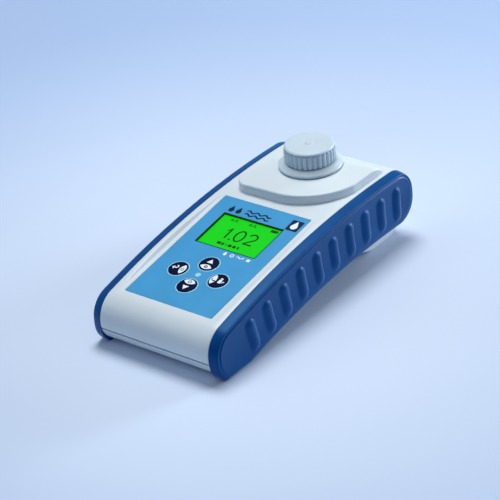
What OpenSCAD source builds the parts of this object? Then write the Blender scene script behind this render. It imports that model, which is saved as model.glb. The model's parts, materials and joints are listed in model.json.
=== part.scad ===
// Handheld photometer for pool and spa water: a bent, round-ended case with
// rubber side grips, a sloping display panel, and a vial chamber on a raised deck.
// X is the width, Y runs from the nose (-) to the back (+), Z is up.
// The origin is at the bottom centre; the nose and the rear foot stand on Z = 0.

/* [Body] */
// Length of the case
body_l = 155; // [150:1:160]
// Thickness of the case, measured across its bent centre line
body_t = 25; // [24:0.5:26]
// Half width of the white shells, up to the grips
shell_hw = 31.3; // [31:0.1:32]
// Radius of the bent centre line, seen from the side
bend_r = 467; // [440:1:500]
// Distance behind the middle at which the centre line is highest
bend_y = 42.9; // [38:0.1:48]
// Wall thickness of the shells
wall = 2.3; // [2:0.1:2.6]

/* [Grips] */
// Half width at the crease where the top band meets the side face
crease_hw = 36.2; // [36:0.1:36.5]
// How far the side face stands out past the crease
side_bulge = 0.6; // [0.4:0.1:0.8]
// Number of finger ribs on each side
rib_n = 10; // [8:1:10]
// Distance between ribs along the centre line
rib_pitch = 12.85; // [12:0.05:13]
// Width of a rib
rib_w = 6.8; // [5:0.1:8]
// How far a rib stands out of the side face
rib_h = 0.9; // [0.5:0.1:1.2]
// How much lower than the shells a grip reaches
grip_drop = 2.3; // [1:0.1:2.6]
// How much further back than the shells a grip reaches
grip_tail = 0.3; // [0.1:0.1:0.3]

/* [Panel] */
// Slope of the display panel in degrees
panel_tilt = 8.5; // [8.3:0.1:8.7]
// Width of the blue overlay
label_w = 50; // [46:1:52]
// Length of the blue overlay
label_l = 77; // [72:1:78]
// Thickness of the overlay film
film_t = 0.4; // [0.3:0.1:0.4]
// Width of the display opening
lcd_w = 34.8; // [30:0.2:36]
// Height of the display opening
lcd_h = 23.3; // [20:0.1:24]
// Distance from the overlay's front edge to the display opening
lcd_y = 42.6; // [42:0.1:46]
// Radius of a key
key_r = 4.55; // [4.3:0.05:4.7]
// Distance from the overlay's front edge to the centre of the key cross
key_y = 22.65; // [22:0.1:24]
// Travel of a key
key_travel = 0.6; // [0.3:0.1:0.6]

/* [Vial] */
// Position of the vial axis behind the middle
vial_y = 45.9; // [44:0.1:47]
// Height of the flat seat around the vial chamber
deck_z = 43; // [42:0.1:44]
// Outer radius of the glass vial
vial_r = 12; // [11.5:0.1:12.2]
// Outer radius of the light shield collar
collar_r = 15.55; // [15:0.05:16]
// Outer radius of the cap over its ribs
cap_r = 12.4; // [12.2:0.1:12.8]
// Number of ribs around the cap
cap_rib_n = 30; // [28:1:44]

/* [Power] */
// Radius of an AAA cell
cell_r = 5.25; // [5.1:0.05:5.25]
// Length of an AAA cell
cell_l = 44.5; // [43:0.5:44.5]
// Position of the battery bay's centre
bay_y = -12; // [-14:1:-10]

/* [Hidden] */
$fn = 64;
big_fn = 720;       // facets of the large bend circles
half_t = body_t/2;
end_y = body_l/2 - half_t;                         // centres of the two round ends
bend_z = half_t - sqrt(pow(bend_r, 2) - pow(end_y + bend_y, 2));
back_z = bend_z + sqrt(pow(bend_r, 2) - pow(end_y - bend_y, 2));
inner_hw = shell_hw + 3;      // half width of the shells where they carry the grips
seal_half = 0.3;              // half of the gap between the two shells
film_front = [0, -65.1, 25.2]; // front edge of the overlay's top face
pocket_hw = 27.5;             // half width of the flat panel around the overlay
slab_t = 2.2;                 // thickness of the panel under the film
key_side = 11.5;              // distance of the side keys from the cross's centre
key_end = 8.4;                // distance of the upper and lower keys from it
key_gap = 0.3;                // clearance around a key
board_top = -5;               // top of the main board below the overlay's top face
board_t = 1.6;
board_hw = 27;
board_y = [2, 82.5];
deck_left = -25.3;
deck_right = 28.8;
deck_front = 16.6;
deck_back = 68;
deck_roof = 2.6;              // thickness of the deck's roof
seat_z = 38.2;                // underside of the solid ring around the chamber
chamber_r = 13.6;
well_r = 14.9;
well_bore = 12.7;
well_floor = 6.4;
beam_z = 20;                  // height of the light beam through the vial
neck_r = 9.9;
vial_bottom = 6.5;
vial_shoulder = 40;
vial_top = 51.2;
foot_hw = 27.6;
bay_w = 50.2;
bay_l = 59.6;
tray_l = 49;
cell_pitch = 10.9;
screw_r = 1.25;
cover_screw_y = 26.6;         // cover screws, from the middle of the battery bay
front_screws = [[-24, -66], [24, -66]];
rear_screws = [[-26.3, 21], [26.3, 21]];

// Angle of the centre line's normal at a distance y behind the middle
function bend_angle(y) = asin((bend_y - y)/bend_r);

// Side profile of the case, grown by d; x is the case's Y and y is its Z
module side_profile(d = 0) {
    h = half_t + d;
    intersection() {
        translate([bend_y, bend_z]) difference() {
            circle(r = bend_r + h, $fn = big_fn);
            circle(r = bend_r - h, $fn = big_fn);
        }
        polygon([[bend_y, bend_z],
            [bend_y - 1.3*(end_y + bend_y), bend_z + 1.3*(half_t - bend_z)],
            [bend_y + 1.3*(end_y - bend_y), bend_z + 1.3*(back_z - bend_z)]]);
    }
    translate([-end_y, half_t]) circle(r = h);
    translate([end_y, back_z]) circle(r = h);
}

// Stretches a side profile over the width from x0 to x1
module across(x0, x1) {
    translate([x0, 0, 0]) rotate([90, 0, 90]) linear_extrude(x1 - x0) children();
}

// Puts its children on the centre line at y, with z along the line's normal
module on_bend(y) {
    a = bend_angle(y);
    translate([0, bend_y - bend_r*sin(a), bend_z + bend_r*cos(a)]) rotate([a, 0, 0]) children();
}

// Puts its children on the overlay's top face, with y up the slope from its front edge
module on_panel() {
    translate(film_front) rotate([panel_tilt, 0, 0]) children();
}

// Puts its children on the vial's axis
module on_vial() {
    translate([0, vial_y, 0]) children();
}

module bend_disc(d) {
    across(-inner_hw - 1, inner_hw + 1)
        translate([bend_y, bend_z]) circle(r = bend_r + d, $fn = big_fn);
}

module box(w, l, z0, z1) {
    translate([-w/2, -l/2, z0]) cube([w, l, z1 - z0]);
}

module tube(r, bore, z0, z1) {
    translate([0, 0, z0]) difference() {
        cylinder(r = r, h = z1 - z0);
        translate([0, 0, -1]) cylinder(r = bore, h = z1 - z0 + 2);
    }
}

// Both shells together, before they are parted
module case_outside() {
    across(-shell_hw, shell_hw) side_profile();
    across(-inner_hw, inner_hw) side_profile(-wall);
}

module case_inside() {
    across(-shell_hw + 2.1, shell_hw - 2.1) side_profile(-wall);
    across(-inner_hw + 2.1, inner_hw - 2.1) side_profile(-wall - 1.9);
}

// Plan of the raised deck: round on the right, square-cornered on the left
module deck_plan() {
    corner = 8;
    intersection() {
        translate([deck_left, deck_front])
            square([deck_right - deck_left, deck_back - deck_front]);
        union() {
            translate([0, vial_y]) circle(r = vial_y - deck_front);
            translate([deck_left + corner, deck_front + corner]) circle(r = corner);
            translate([deck_left, deck_front + corner]) square([-deck_left, 60]);
            translate([deck_left + corner, deck_front]) square([-deck_left - corner, 60]);
            translate([0, vial_y]) square([deck_right, 30]);
        }
    }
}

// The deck's crowned top, which rolls over at the back to meet the case
module deck() {
    crown_r = 400;
    roll_r = 20;
    roll_y = 51.5;
    intersection() {
        translate([0, 0, deck_z - 11]) linear_extrude(12) deck_plan();
        translate([0, vial_y, deck_z - crown_r]) sphere(r = crown_r, $fn = 360);
        union() {
            translate([-40, 0, deck_z - 20]) cube([80, roll_y, 22]);
            across(-40, 40) translate([roll_y, deck_z - roll_r]) circle(r = roll_r, $fn = 180);
        }
    }
}

// Hollow under the deck, which leaves a solid ring around the chamber and a solid back edge
module deck_hollow() {
    intersection() {
        translate([0, 0, deck_z - 12]) linear_extrude(12 - deck_roof) difference() {
            translate([1.75, 42]) scale(0.88) translate([-1.75, -42]) deck_plan();
            translate([0, vial_y]) circle(r = well_r + 2.6);
        }
        translate([-40, 0, 0]) cube([80, 56.5, 60]);
    }
}

module key_places() {
    translate([-key_side, key_y, 0]) children();
    translate([key_side, key_y, 0]) children();
    translate([0, key_y - key_end, 0]) children();
    translate([0, key_y + key_end, 0]) children();
}

module panel_openings() {
    translate([0, lcd_y + lcd_h/2, 0]) box(lcd_w, lcd_h, -6, 3);
    key_places() translate([0, 0, -6]) cylinder(r = key_r + key_gap, h = 9);
}

module upper_shell() color([0.87, 0.89, 0.91]) difference() {
    union() {
        difference() {
            case_outside();
            bend_disc(seal_half);
            case_inside();
            // the flat panel, with sloping flanks
            on_panel() translate([0, label_l + 4, 0]) rotate([90, 0, 0])
                linear_extrude(label_l + 4.1)
                    polygon([[-pocket_hw, 0], [pocket_hw, 0],
                        [pocket_hw + 3, 3], [-pocket_hw - 3, 3]]);
        }
        on_panel() translate([0, label_l/2, 0])
            box(2*shell_hw - 4.3, label_l + 4, -film_t - slab_t, -film_t);
        difference() {
            deck();
            deck_hollow();
            across(-40, 40) side_profile(-wall);
        }
        for (p = front_screws) translate([p[0], p[1], 12.6]) cylinder(r = 3, h = 11);
        for (p = rear_screws) translate([p[0], p[1], 25.4]) cylinder(r = 3, h = 10.4);
    }
    on_panel() translate([0, label_l/2, 0]) box(label_w + 0.2, label_l + 0.2, -film_t, 2);
    on_panel() panel_openings();
    on_vial() translate([0, 0, 30]) cylinder(r = chamber_r, h = 20);
    on_vial() translate([0, 0, 28]) cylinder(r = well_r + 0.3, h = seat_z - 28);
    for (p = front_screws) translate([p[0], p[1], 5]) cylinder(r = screw_r + 0.05, h = 13);
    for (p = rear_screws) translate([p[0], p[1], 20]) cylinder(r = screw_r + 0.05, h = 12);
}

// Rear foot under the vial chamber, seen from the side
module foot_profile(d) {
    translate([68, 6.5]) circle(r = 6.5 - d);
    polygon([[27 + d, 11.5 + d], [31 + d, 8 + d], [43 + d/2, 3 + d], [50.5 + d/4, 0.4 + d],
        [53 + d/4, d], [68, d], [68, 6.5], [74.5 - d, 6.5], [74.5 - d, 19], [27 + d, 19]]);
}

module foot() {
    across(-foot_hw, foot_hw) foot_profile(0);
    on_vial() translate([0, 0, 1.6]) cylinder(r = 17.2, h = 13);
}

module foot_hollow() {
    across(-foot_hw + 2.2, foot_hw - 2.2) foot_profile(2.2);
    on_vial() translate([0, 0, 3.9]) cylinder(r = 15.1, h = 14);
}

module screw_boss(p, z0, z1) {
    translate([p[0], p[1], z0]) cylinder(r = 3.9, h = z1 - z0);
}

module screw_hole(p, head_z) {
    translate([p[0], p[1], head_z - 8]) cylinder(r = 2.9, h = 8);
    translate([p[0], p[1], head_z - 1]) cylinder(r = 1.6, h = 20);
}

module lower_shell() color([0.85, 0.87, 0.89]) difference() {
    union() {
        difference() {
            union() {
                intersection() {
                    case_outside();
                    bend_disc(-seal_half);
                }
                foot();
            }
            case_inside();
            foot_hollow();
        }
        intersection() {
            union() {
                for (p = front_screws) screw_boss(p, 0.5, 10.6);
                for (p = rear_screws) screw_boss(p, 12.4, 23.4);
            }
            case_outside();
            bend_disc(-seal_half);
        }
    }
    on_bend(bay_y) box(bay_w, bay_l, -20, -8);
    for (p = front_screws) screw_hole(p, 4);
    for (p = rear_screws) screw_hole(p, 16);
}

// Dark gasket in the joint between the shells
module housing_seal() color([0.2, 0.2, 0.22]) intersection() {
    difference() {
        union() {
            across(-shell_hw, shell_hw) side_profile(-0.35);
            across(-inner_hw, inner_hw) side_profile(-wall);
        }
        across(-shell_hw + 1.9, shell_hw - 1.9) side_profile(-1.9);
        across(-inner_hw + 1.4, inner_hw - 1.4) side_profile(-wall - 1.4);
    }
    difference() {
        bend_disc(seal_half);
        bend_disc(-seal_half);
    }
}

// Side profile of a grip: the case's own, widened downwards and to the back, and flat on the floor
module grip_profile(d) {
    h = half_t + d;
    side_profile(d);
    intersection() {
        translate([grip_tail, -grip_drop]) side_profile(d);
        translate([-body_l/2, -d]) square([body_l + 10, 60]);
    }
    // fills the notch between the two round back ends
    shift = sqrt(pow(grip_tail, 2) + pow(grip_drop, 2));
    out = [grip_drop*h/shift, grip_tail*h/shift];
    back = [end_y, back_z];
    moved = back + [grip_tail, -grip_drop];
    polygon([back, moved, moved + out, back + out]);
}

// One finger rib: a bar with round ends, at a distance s along the centre line
module rib(s) {
    a = -s/bend_r*180/PI;
    lo = -10;
    hi = 6.4;
    r = rib_w/2;
    x0 = crease_hw + side_bulge - 0.4;
    h = rib_h + 0.4;
    translate([0, bend_y - bend_r*sin(a), bend_z + bend_r*cos(a)]) rotate([a, 0, 0])
        translate([x0, 0, 0]) rotate([90, 0, 90]) linear_extrude(h) {
            translate([0, lo + r]) circle(r = r);
            translate([0, hi - r]) circle(r = r);
            translate([-r, lo + r]) square([rib_w, hi - lo - rib_w]);
        }
}

module grip() {
    first_rib = -95.8;
    difference() {
        union() {
            across(shell_hw, crease_hw - 2.2) grip_profile(-0.3);
            across(crease_hw - 2.3, crease_hw) grip_profile(-0.8);
            across(crease_hw - 0.1, crease_hw + side_bulge) grip_profile(-2.2);
            for (i = [0:rib_n - 1]) rib(first_rib + i*rib_pitch);
        }
        across(shell_hw - 1, inner_hw) side_profile(-wall);
        // keeps clear of the rear foot
        across(0, shell_hw + 0.01) foot_profile(0);
    }
}

module right_grip() color([0.02, 0.27, 0.55]) grip();

module left_grip() color([0.02, 0.27, 0.55]) mirror([1, 0, 0]) grip();

module keypad_overlay() color([0.3, 0.62, 0.85]) on_panel() difference() {
    translate([0, label_l/2, 0]) box(label_w, label_l, -film_t, 0);
    panel_openings();
}

module display_window() color([0.7, 0.9, 0.75, 0.5]) on_panel()
    translate([0, lcd_y + lcd_h/2, 0]) box(lcd_w - 0.2, lcd_h - 0.2, -0.9, -0.1);

module lcd_panel() color([0.0, 0.85, 0.1]) on_panel()
    translate([0, lcd_y + lcd_h/2, 0]) box(lcd_w - 0.2, lcd_h - 0.2, -2.9, -0.95);

module lcd_backlight() color([0.9, 0.95, 0.9]) on_panel()
    translate([0, lcd_y + lcd_h/2, 0]) {
        box(lcd_w - 0.2, lcd_h - 0.2, -4.95, -2.95);
        box(lcd_w + 4, lcd_h - 6, -4.95, -3.6);
    }

// One key: a disc in the panel, a flange under it, and a stem over its dome
module key(x, y) {
    flange_z = -film_t - slab_t - 0.1;
    color([0.03, 0.07, 0.2]) on_panel() translate([x, y, 0]) {
        translate([0, 0, flange_z - 0.5]) cylinder(r = key_r, h = 0.35 - flange_z + 0.5);
        translate([0, 0, flange_z - 0.8]) cylinder(r = key_r + 1, h = 0.8);
        translate([0, 0, flange_z - 1]) cylinder(r = 1.6, h = 0.6);
    }
}

module enter_key() key(-key_side, key_y);
module mode_key() key(key_side, key_y);
module up_key() key(0, key_y + key_end);
module down_key() key(0, key_y - key_end);

module dome_switches() color([0.8, 0.8, 0.8]) on_panel()
    key_places() translate([0, 0, board_top]) {
        cylinder(r = 3.2, h = 0.3);
        cylinder(r = 2.2, h = 0.6);
    }

module board_places() {
    for (x = [-24.5, 24.5], y = [38, 80]) translate([x, y, 0]) children();
}

module main_board() color([0.05, 0.4, 0.2]) on_panel() difference() {
    translate([-board_hw, board_y[0], board_top - board_t])
        cube([2*board_hw, board_y[1] - board_y[0], board_t]);
    board_places() translate([0, 0, board_top - 3]) cylinder(r = 1.3, h = 5);
}

module control_chips() color([0.1, 0.1, 0.11]) on_panel() {
    translate([-12, 73, 0]) box(10, 10, board_top, board_top + 1.4);
    translate([6, 74, 0]) box(6, 5, board_top, board_top + 1.2);
    translate([16, 74, 0]) box(4, 5, board_top, board_top + 1.2);
}

module buzzer() color([0.12, 0.12, 0.12]) on_panel()
    translate([18.5, 36.5, board_top]) difference() {
        cylinder(r = 4, h = 2);
        translate([0, 0, 1]) cylinder(r = 0.9, h = 2);
    }

module vial_well() color([0.13, 0.13, 0.15]) on_vial() difference() {
    translate([0, 0, 4.2]) cylinder(r = well_r, h = seat_z - 5.2);
    translate([0, 0, well_floor]) cylinder(r = well_bore, h = 40);
    translate([-20, 0, beam_z]) rotate([0, 90, 0]) cylinder(r = 3.6, h = 40);
}

// Ring that seals the well against the solid ring around the chamber
module well_seal() color([0.15, 0.15, 0.16]) on_vial()
    tube(well_r - 0.1, well_bore + 0.3, seat_z - 1, seat_z);

module well_windows() color([0.8, 0.9, 0.95, 0.5]) on_vial()
    for (x = [-14.2, 13]) translate([x, 0, beam_z]) rotate([0, 90, 0])
        cylinder(r = 3.55, h = 1.2);

module led_board() color([0.05, 0.4, 0.2])
    translate([-20.6, vial_y - 8, 13]) cube([1.6, 16, 14]);

module led_emitters() color([0.9, 0.95, 1]) for (z = [-1.7, 1.7])
    translate([-19, vial_y, beam_z + z]) rotate([0, 90, 0]) {
        cylinder(r = 1.6, h = 0.8);
        cylinder(r = 1.4, h = 2.4);
        translate([0, 0, 2.4]) sphere(r = 1.4);
    }

module filter_holder() color([0.12, 0.12, 0.13])
    translate([0, vial_y, beam_z]) rotate([0, 90, 0]) difference() {
        translate([0, 0, 15.1]) cylinder(r = 6, h = 4.8);
        translate([0, 0, 14]) cylinder(r = 4.1, h = 7);
    }

module light_filter() color([0.4, 0.65, 0.45, 0.6])
    translate([15.3, vial_y, beam_z]) rotate([0, 90, 0]) cylinder(r = 4.05, h = 1.6);

module light_sensor() color([0.75, 0.7, 0.45])
    translate([17.1, vial_y, beam_z]) rotate([0, 90, 0]) cylinder(r = 3.9, h = 2.8);

module sensor_board() color([0.05, 0.4, 0.2])
    translate([19.9, vial_y - 8, 13]) cube([1.6, 16, 14]);

// Flat cable from the sensor board forward to the main board
module sensor_ribbon() color([0.75, 0.75, 0.78]) {
    translate([21.5, vial_y - 8, 23]) cube([0.4, 4, 3]);
    translate([21.5, 14, 23]) cube([0.4, vial_y - 8 - 14 + 4, 3]);
    translate([21.5, 14, 23]) cube([0.4, 3, 7.3]);
}

module glass_vial() color([0.85, 0.93, 0.96, 0.4]) on_vial() difference() {
    union() {
        translate([0, 0, vial_bottom]) cylinder(r = vial_r, h = vial_shoulder - vial_bottom);
        translate([0, 0, vial_shoulder]) cylinder(r1 = vial_r, r2 = neck_r, h = 2.4);
        translate([0, 0, vial_shoulder]) cylinder(r = neck_r, h = vial_top - vial_shoulder);
    }
    translate([0, 0, vial_bottom + 1.6])
        cylinder(r = vial_r - 1.3, h = vial_shoulder - vial_bottom - 2.2);
    translate([0, 0, vial_shoulder - 1]) cylinder(r = neck_r - 1.3, h = 20);
}

// Ring around the vial's neck that rests on the deck and keeps daylight out
module light_shield_collar() color([0.86, 0.88, 0.9]) on_vial() rotate_extrude()
    polygon([[neck_r, 43.2], [10.3, 42.6], [vial_r + 0.1, 41.2], [vial_r + 0.1, 39.8], [13.2, 39.8],
        [13.2, deck_z + 0.1], [collar_r - 0.4, deck_z + 0.1], [collar_r - 0.4, deck_z + 0.5],
        [collar_r, deck_z + 0.6], [collar_r, deck_z + 1.2], [collar_r - 0.5, deck_z + 1.7],
        [13.1, deck_z + 2.8], [neck_r, deck_z + 2.8]]);

module vial_cap() color([0.8, 0.84, 0.87]) on_vial() {
    base = 46;
    top = 54.3;
    bore = neck_r + 0.3;
    groove_r = 0.75;
    difference() {
        rotate_extrude() polygon([[0, 52.2], [bore, 52.2], [bore, base], [cap_r, base],
            [cap_r, 53.2], [cap_r - 1.2, top], [1.6, top], [1.2, top + 0.7], [0, top + 0.7]]);
        for (i = [0:cap_rib_n - 1]) rotate([0, 0, i*360/cap_rib_n])
            translate([cap_r + 0.15, 0, base - 1]) cylinder(r = groove_r, h = 7.6, $fn = 24);
    }
}

// Soft disc in the cap that seals the vial's mouth
module cap_liner() color([0.93, 0.93, 0.9]) on_vial()
    translate([0, 0, vial_top + 0.05]) cylinder(r = neck_r + 0.2, h = 0.9);

module battery_tray() color([0.15, 0.15, 0.16]) on_bend(bay_y) difference() {
    union() {
        box(bay_w + 2.4, tray_l + 2.4, -9.9, 1.9);
        for (y = [-cover_screw_y, cover_screw_y]) translate([0, y, -9.9]) cylinder(r = 2.9, h = 8);
    }
    box(bay_w, tray_l, -12, 0.7);
    for (y = [-cover_screw_y, cover_screw_y]) translate([0, y, -12]) cylinder(r = screw_r + 0.05, h = 9);
}

module batteries() color([0.75, 0.76, 0.8]) on_bend(bay_y) for (i = [0:3]) {
    turn = i % 2 == 0 ? 0 : 180;
    translate([0, (i - 1.5)*cell_pitch, -4.7]) rotate([0, 0, turn])
        rotate([0, 90, 0]) translate([0, 0, -cell_l/2]) {
            cylinder(r = cell_r, h = cell_l - 1);
            cylinder(r = 1.9, h = cell_l);
        }
}

module battery_contacts() color([0.8, 0.8, 0.82]) on_bend(bay_y) for (i = [0:3], s = [-1, 1])
    translate([s*(bay_w/2 - 0.25), (i - 1.5)*cell_pitch, -4.7]) {
        translate([-0.25, -4, -3.5]) cube([0.5, 8, 7]);
        translate([-s*0.25, 0, 0]) rotate([0, -s*90, 0])
            cylinder(r = 2.2, h = (bay_w - cell_l)/2 - 0.5);
    }

module battery_cover() color([0.84, 0.86, 0.88]) difference() {
    intersection() {
        difference() {
            across(-40, 40) side_profile();
            across(-41, 41) side_profile(-wall);
        }
        on_bend(bay_y) box(bay_w - 1.6, bay_l - 1.6, -20, -6);
    }
    on_bend(bay_y) for (y = [-cover_screw_y, cover_screw_y]) translate([0, y, 0]) {
        translate([0, 0, -15]) cylinder(r = 2.6, h = 4);
        translate([0, 0, -15]) cylinder(r = 1.5, h = 8);
    }
    // thumb grooves
    for (i = [0:4]) on_bend(bay_y - 3 + 3*i) translate([-9, 0, -half_t - 0.4])
        rotate([0, 90, 0]) cylinder(r = 0.7, h = 18, $fn = 24);
}

module battery_seal() color([0.16, 0.16, 0.17]) on_bend(bay_y) difference() {
    box(bay_w, bay_l, -11.4, -10.6);
    box(bay_w - 1.6, bay_l - 1.6, -12, -10);
}

module screw(head_z, tip_z, head_r = 2.3) {
    difference() {
        union() {
            translate([0, 0, head_z - 1.5]) cylinder(r = head_r, h = 1.5);
            translate([0, 0, head_z - 0.1]) cylinder(r = screw_r, h = tip_z - head_z);
            translate([0, 0, tip_z - 0.1]) cylinder(r1 = screw_r, r2 = 0.4, h = 1);
        }
        for (a = [0, 90]) rotate([0, 0, a]) box(2.6, 0.6, head_z - 2.5, head_z - 0.8);
    }
}

module cover_screws() color([0.6, 0.6, 0.62]) on_bend(bay_y)
    for (y = [-cover_screw_y, cover_screw_y]) translate([0, y, 0]) screw(-11.05, -5);

module housing_screws() color([0.6, 0.6, 0.62]) {
    for (p = front_screws) translate([p[0], p[1], 0]) screw(3.95, 15);
    for (p = rear_screws) translate([p[0], p[1], 0]) screw(15.95, 29);
}

module board_screws() color([0.6, 0.6, 0.62]) on_panel() board_places()
    translate([0, 0, board_top]) difference() {
        union() {
            cylinder(r = 2.1, h = 1.2);
            translate([0, 0, -3.4]) cylinder(r = 1.2, h = 4);
        }
        for (a = [0, 90]) rotate([0, 0, a]) box(2.4, 0.6, 0.6, 2);
    }

upper_shell();
lower_shell();
housing_seal();
left_grip();
right_grip();
keypad_overlay();
display_window();
lcd_panel();
lcd_backlight();
enter_key();
up_key();
down_key();
mode_key();
dome_switches();
main_board();
control_chips();
buzzer();
vial_well();
well_seal();
well_windows();
led_board();
led_emitters();
light_filter();
filter_holder();
light_sensor();
sensor_board();
sensor_ribbon();
glass_vial();
light_shield_collar();
vial_cap();
cap_liner();
battery_tray();
batteries();
battery_contacts();
battery_cover();
battery_seal();
cover_screws();
housing_screws();
board_screws();
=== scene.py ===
import json
from math import asin, atan2, cos, pi, radians, sin, sqrt

import bmesh
import bpy
from mathutils import Matrix, Vector


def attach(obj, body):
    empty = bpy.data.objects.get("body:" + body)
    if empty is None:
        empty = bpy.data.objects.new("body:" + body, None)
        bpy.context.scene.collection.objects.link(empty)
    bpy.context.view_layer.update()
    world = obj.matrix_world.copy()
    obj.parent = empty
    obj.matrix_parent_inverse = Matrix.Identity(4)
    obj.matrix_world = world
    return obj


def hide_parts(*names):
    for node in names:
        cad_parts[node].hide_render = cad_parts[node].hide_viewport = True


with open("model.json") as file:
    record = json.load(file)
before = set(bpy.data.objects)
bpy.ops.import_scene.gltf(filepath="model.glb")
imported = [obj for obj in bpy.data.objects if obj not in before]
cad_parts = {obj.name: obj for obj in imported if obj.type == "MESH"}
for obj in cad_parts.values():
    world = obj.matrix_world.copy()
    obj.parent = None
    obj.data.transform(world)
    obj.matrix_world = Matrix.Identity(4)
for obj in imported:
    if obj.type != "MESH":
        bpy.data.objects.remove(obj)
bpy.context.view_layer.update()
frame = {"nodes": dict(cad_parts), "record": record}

# The looks of a handheld photometer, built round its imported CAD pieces.
# Sizes are in millimetres, and MM turns them into metres; lamps and camera are placed in metres.
# X is the width, Y runs from the nose (-) to the back (+), Z is up.
MM = 0.001

# Bent case: a centre line that is an arc in the YZ plane about (BEND_Y, BEND_Z), with round ends.
# END_Y is a hair under the CAD's, so that the smooth ends stay inside the CAD's faceted ones.
HALF_T = 12.5
BEND_R = 467.0
BEND_Y = 42.9
END_Y = 64.99
BEND_Z = HALF_T - sqrt(BEND_R**2 - (END_Y + BEND_Y)**2)
FRONT_TURN = asin((BEND_Y + END_Y)/BEND_R)
BACK_TURN = asin((BEND_Y - END_Y)/BEND_R)

# Upper shell: its roof, the lip down to the parting line, the seal's half thickness, and how far
# the edges of the pocket beside the panel are rounded
SHELL_HW = 31.3
SHELL_WALL = 2.3
ROOF_T = 3.2
LIP_T = 2.1
LIP_REACH = 0.32
SEAL_HALF = 0.3
BROW_R = 0.45

# Panel: Y starts at the film's front edge, and Z is its height over the film
FILM_FRONT = Vector((0.0, -65.1, 25.2))
PANEL_TILT = radians(8.5)
POCKET_HW = 27.5
FILM_T = 0.4
LABEL_W = 50.0
LABEL_L = 77.0
LCD_W = 34.8
LCD_H = 23.3
LCD_Y = 42.6
LCD_FACE = -0.93
PRINT_BOTTOM = -0.01
PRINT_TOP = 0.03
KEY_R = 4.55
KEY_Y = 22.65
KEY_SIDE = 11.5
KEY_END = 8.4
KEY_GAP = 0.3
KEYS = {
    "enter": (-KEY_SIDE, 0.0),
    "mode": (KEY_SIDE, 0.0),
    "up": (0.0, KEY_END),
    "down": (0.0, -KEY_END),
}

# Deck and vial
VIAL_Y = 45.9
DECK_Z = 43.0
DECK_FOOT = 35.5
DECK_LEFT = -25.3
DECK_RIGHT = 28.8
DECK_FRONT = 16.6
DECK_BACK = 68.0
DECK_CORNER = 8.0
DECK_RIM = 0.9
DECK_CROWN_R = 400.0
DECK_ROLL_R = 20.0
DECK_ROLL_Y = 51.5
DECK_DIP = 0.35
DECK_DIP_RUN = 3.0
CHAMBER_R = 13.6
COLLAR_R = 15.55
CAP_R = 12.4
CAP_RIBS = 30
CAP_BASE = 46.0
RIB_TOP = 53.0
CAP_TOP = 54.3

# Grips: GRIP_DROP is how far the lower edge hangs below the shells, and GRIP_CLEAR keeps it off the
# floor. GRIP_ROOT_X is the hidden inner edge, and SIDE_BULGE is the power in the side face's curve.
GRIP_DROP = 2.3
GRIP_CLEAR = 0.02
GRIP_ROOT_X = 33.0
GRIP_STEP = 0.6
GRIP_END_STEPS = 40
GRIP_RINGS = 26
SIDE_HW = 36.2
SIDE_BULGE = 2.2

# A grip's rim as (x, depth) points from the seam out: a crease on top, a round corner underneath
RIM_CREASE = [(31.3, -2.3), (31.3, -0.5), (31.36, -0.2), (31.6, -0.04), (32.4, -0.14), (33.4, -0.32),
              (34.3, -0.52), (35.1, -0.72), (35.7, -0.90), (36.0, -1.04), (36.12, -1.26),
              (36.06, -1.6), (35.9, -1.9), (35.92, -2.2), (36.15, -2.5), (36.4, -2.9)]
RIM_CORNER = [(31.3, -2.3), (31.3, -0.5), (31.36, -0.2), (31.6, -0.02), (32.6, 0.0), (34.0, 0.0),
              (35.0, -0.02), (35.5, -0.08), (35.95, -0.23), (36.3, -0.48), (36.52, -0.78),
              (36.66, -1.12), (36.74, -1.5), (36.78, -1.9), (36.8, -2.4), (36.8, -2.9)]

# Finger ribs: run is measured along the centre line, and rise is the height over it.
# Leaning makes a rib's crest RIB_LEAN_PEAK times as high, and rib_height divides that out.
RIB_N = 10
RIB_FIRST = -95.8
RIB_PITCH = 12.85
RIB_HALF = 3.4
RIB_H = 1.33
RIB_LO = -10.0
RIB_HI = 6.4
RIB_LEAN = 0.45
RIB_LEAN_PEAK = 1.05
RIB_FADE = 0.8
RIB_FADE_RUN = 6.0

# Looks: roughness drifts by this share, and a print is handed the film's slot if it has none here, though
# the slot is not used
ROUGH_DRIFT = 0.12
PRINT_SLOTS = {"print_navy": "navy_key", "lcd_ink": "green_display"}
LAMP_AIM = Vector((0.0, 0.0, 0.02))

ON_PANEL = Matrix.Translation(FILM_FRONT) @ Matrix.Rotation(PANEL_TILT, 4, "X")
ON_VIAL = Matrix.Translation((0.0, VIAL_Y, 0.0))


def on_panel(centre):
    """The panel's frame, moved to a centre on it."""
    return ON_PANEL @ Matrix.Translation((*centre, 0.0))


def smooth(lo, hi, value):
    """0 below lo, 1 above hi, and a smooth step between."""
    t = min(1.0, max(0.0, (value - lo) / (hi - lo)))
    return t * t * (3 - 2 * t)


def mix(a, b, share):
    """The value that lies that share of the way from a to b."""
    return a + (b - a)*share


# ---------------------------------------------------------------- materials


def linear(red, green, blue):
    """An 8-bit sRGB colour as linear values."""
    def channel(value):
        value /= 255
        return value / 12.92 if value <= 0.04045 else ((value + 0.055) / 1.055) ** 2.4
    return channel(red), channel(green), channel(blue), 1.0


def noise(tree, size, detail=3.0, stretch=None):
    """A noise texture in the piece's own coordinates, with features of that size in millimetres."""
    place = tree.nodes.new("ShaderNodeTexCoord")
    texture = tree.nodes.new("ShaderNodeTexNoise")
    texture.inputs["Scale"].default_value = 1 / (size * MM)
    texture.inputs["Detail"].default_value = detail
    source = place.outputs["Object"]
    if stretch:
        mapping = tree.nodes.new("ShaderNodeMapping")
        mapping.inputs["Scale"].default_value = stretch
        tree.links.new(source, mapping.inputs["Vector"])
        source = mapping.outputs["Vector"]
    tree.links.new(source, texture.inputs["Vector"])
    return texture.outputs["Fac"]


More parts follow.
